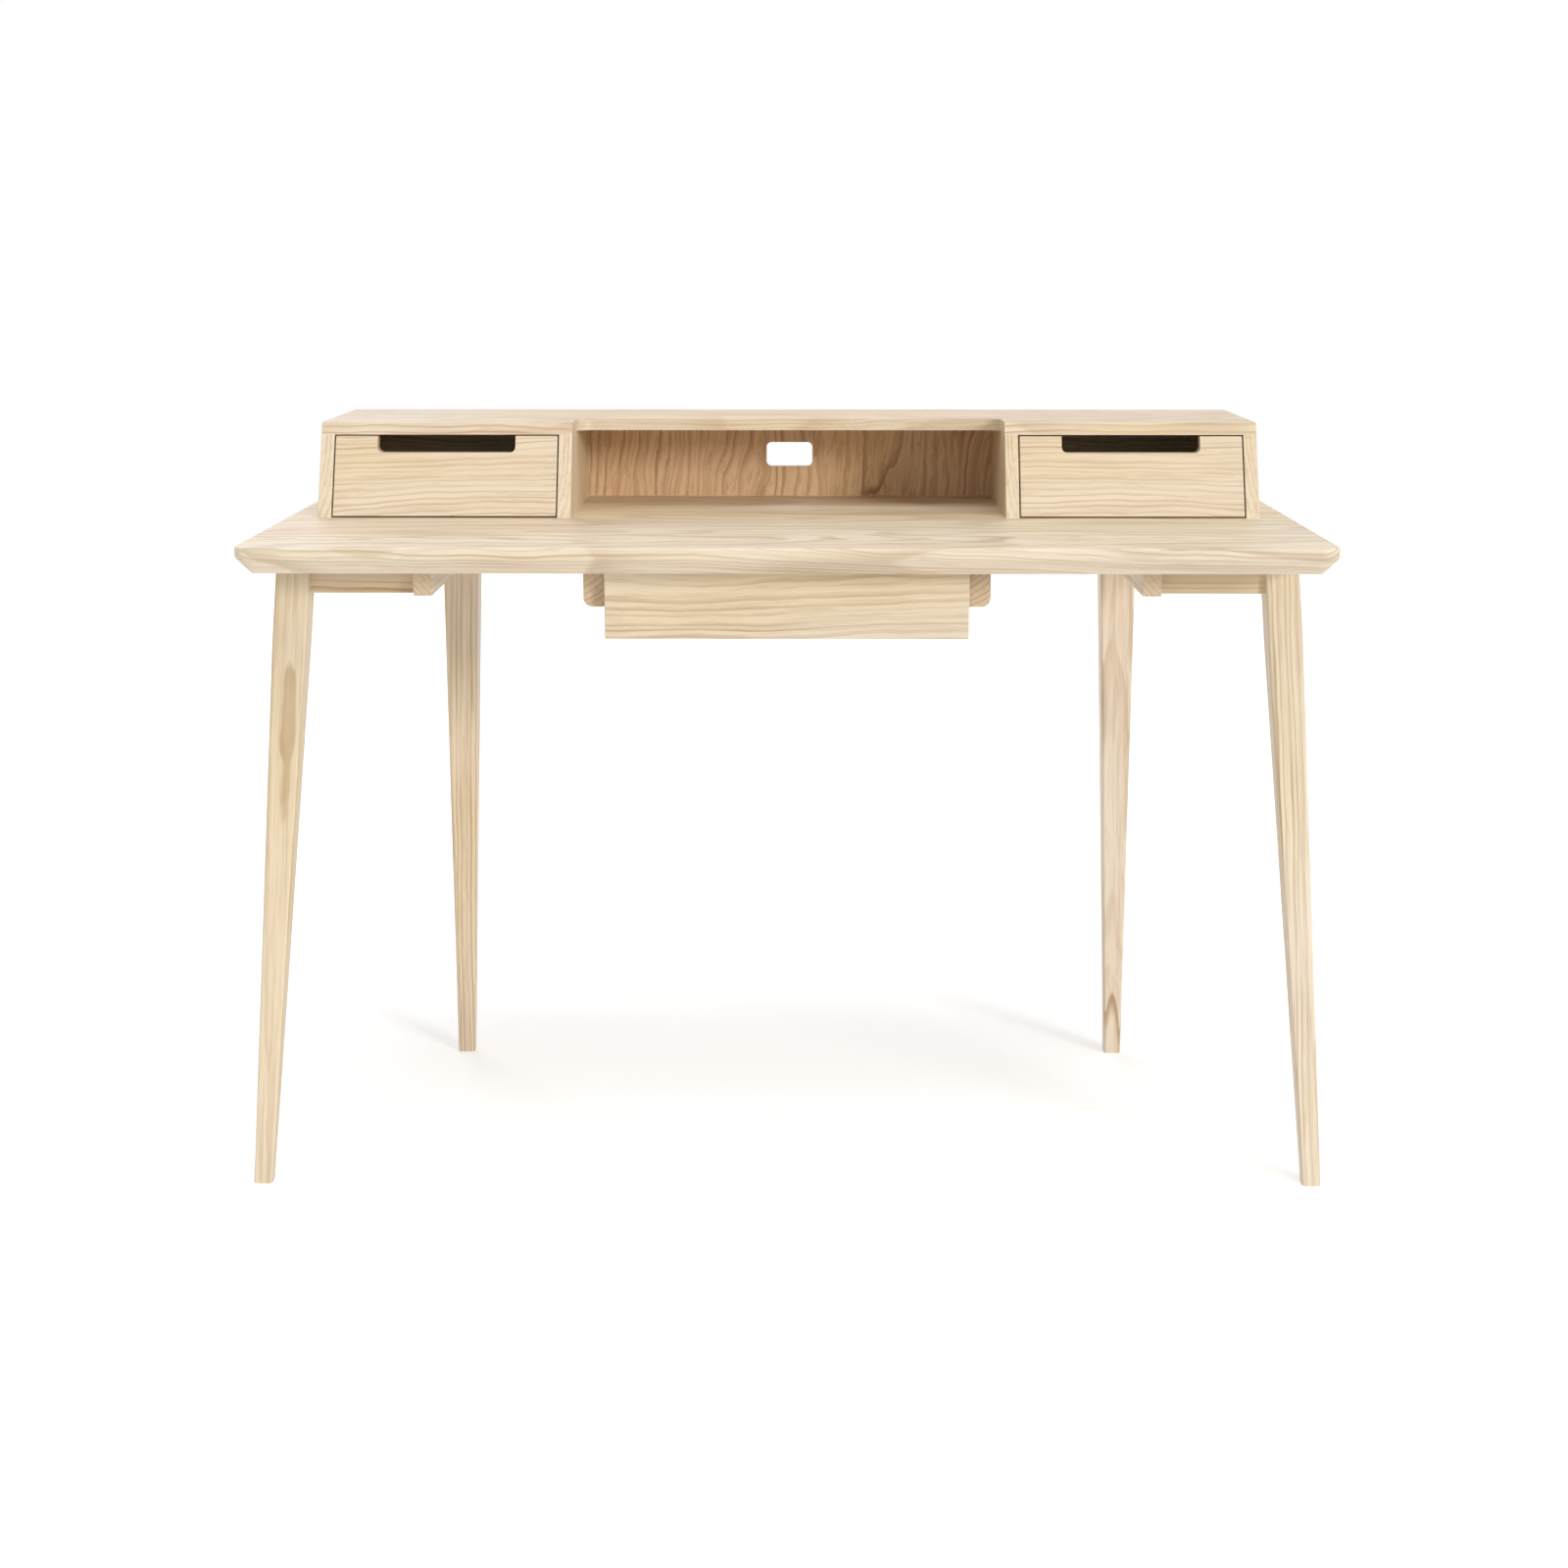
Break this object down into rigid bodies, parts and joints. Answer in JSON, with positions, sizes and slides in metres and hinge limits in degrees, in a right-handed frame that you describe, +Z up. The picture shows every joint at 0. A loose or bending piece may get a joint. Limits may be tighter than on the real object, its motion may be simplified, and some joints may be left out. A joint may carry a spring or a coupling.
{
  "type": "writing desk with drawers",
  "caption": "Wooden writing desk on splayed tapered legs, with a low leaning-front drawer cabinet at the back of the top, an open cable niche and a shallow drawer underneath.",
  "frame": {"origin": "on the floor under the middle of the desk, at the centre of the bottom of its bounding box", "axes": "+X to the right seen by the person who sits at the desk, +Y from front to back, +Z up"},
  "size_m": [1.24, 0.6, 0.86],
  "materials": {
    "tabletop_wood": "pale pine, clear matt lacquer",
    "leg_wood": "pale pine, clear matt lacquer",
    "frame_wood": "pale pine, clear matt lacquer",
    "cabinet_wood": "pale pine, clear matt lacquer",
    "drawer_front_wood": "pale pine, clear matt lacquer",
    "drawer_box_wood": "pale pine, clear matt lacquer",
    "drawer_bottom_plywood": "pale pine, clear matt lacquer",
    "runner_wood": "pale pine, clear matt lacquer",
    "dowel_wood": "pale pine, clear matt lacquer",
    "screw_steel": "zinc-plated steel, bright"
  },
  "bodies": {
    "desk": {"back_screws": "screw_steel", "beam_left": "frame_wood", "beam_right": "frame_wood", "cabinet_back": "cabinet_wood", "cabinet_divider_left": "cabinet_wood", "cabinet_divider_right": "cabinet_wood", "cabinet_dowels": "dowel_wood", "cabinet_screws": "screw_steel", "cabinet_side_left": "cabinet_wood", "cabinet_side_right": "cabinet_wood", "cabinet_stops": "runner_wood", "cabinet_top": "cabinet_wood", "centre_stop": "runner_wood", "frame_screws": "screw_steel", "leg_dowels": "dowel_wood", "leg_front_left": "leg_wood", "leg_front_right": "leg_wood", "leg_rear_left": "leg_wood", "leg_rear_right": "leg_wood", "rail_front_left": "frame_wood", "rail_front_right": "frame_wood", "rail_rear": "frame_wood", "runner_keeper_left": "runner_wood", "runner_keeper_right": "runner_wood", "runner_ledge_left": "runner_wood", "runner_ledge_right": "runner_wood", "runner_left": "runner_wood", "runner_right": "runner_wood", "runner_screws": "screw_steel", "tabletop": "tabletop_wood"},
    "drawer_left": {"drawer_left_back": "drawer_box_wood", "drawer_left_bottom": "drawer_bottom_plywood", "drawer_left_front": "drawer_front_wood", "drawer_left_side_inner": "drawer_box_wood", "drawer_left_side_outer": "drawer_box_wood"},
    "drawer_right": {"drawer_right_back": "drawer_box_wood", "drawer_right_bottom": "drawer_bottom_plywood", "drawer_right_front": "drawer_front_wood", "drawer_right_side_inner": "drawer_box_wood", "drawer_right_side_outer": "drawer_box_wood"},
    "drawer_centre": {"drawer_centre_back": "drawer_box_wood", "drawer_centre_bottom": "drawer_bottom_plywood", "drawer_centre_cleat_left": "drawer_box_wood", "drawer_centre_cleat_right": "drawer_box_wood", "drawer_centre_front": "drawer_front_wood", "drawer_centre_side_left": "drawer_box_wood", "drawer_centre_side_right": "drawer_box_wood"}
  },
  "joints": [
    {"name": "drawer_left_slide", "type": "slide", "parent": "desk", "child": "drawer_left", "axis": [0, -1, 0], "range_m": [0, 0.18]},
    {"name": "drawer_right_slide", "type": "slide", "parent": "desk", "child": "drawer_right", "axis": [0, -1, 0], "range_m": [0, 0.18]},
    {"name": "drawer_centre_slide", "type": "slide", "parent": "desk", "child": "drawer_centre", "axis": [0, -1, 0], "range_m": [0, 0.26]}
  ]
}
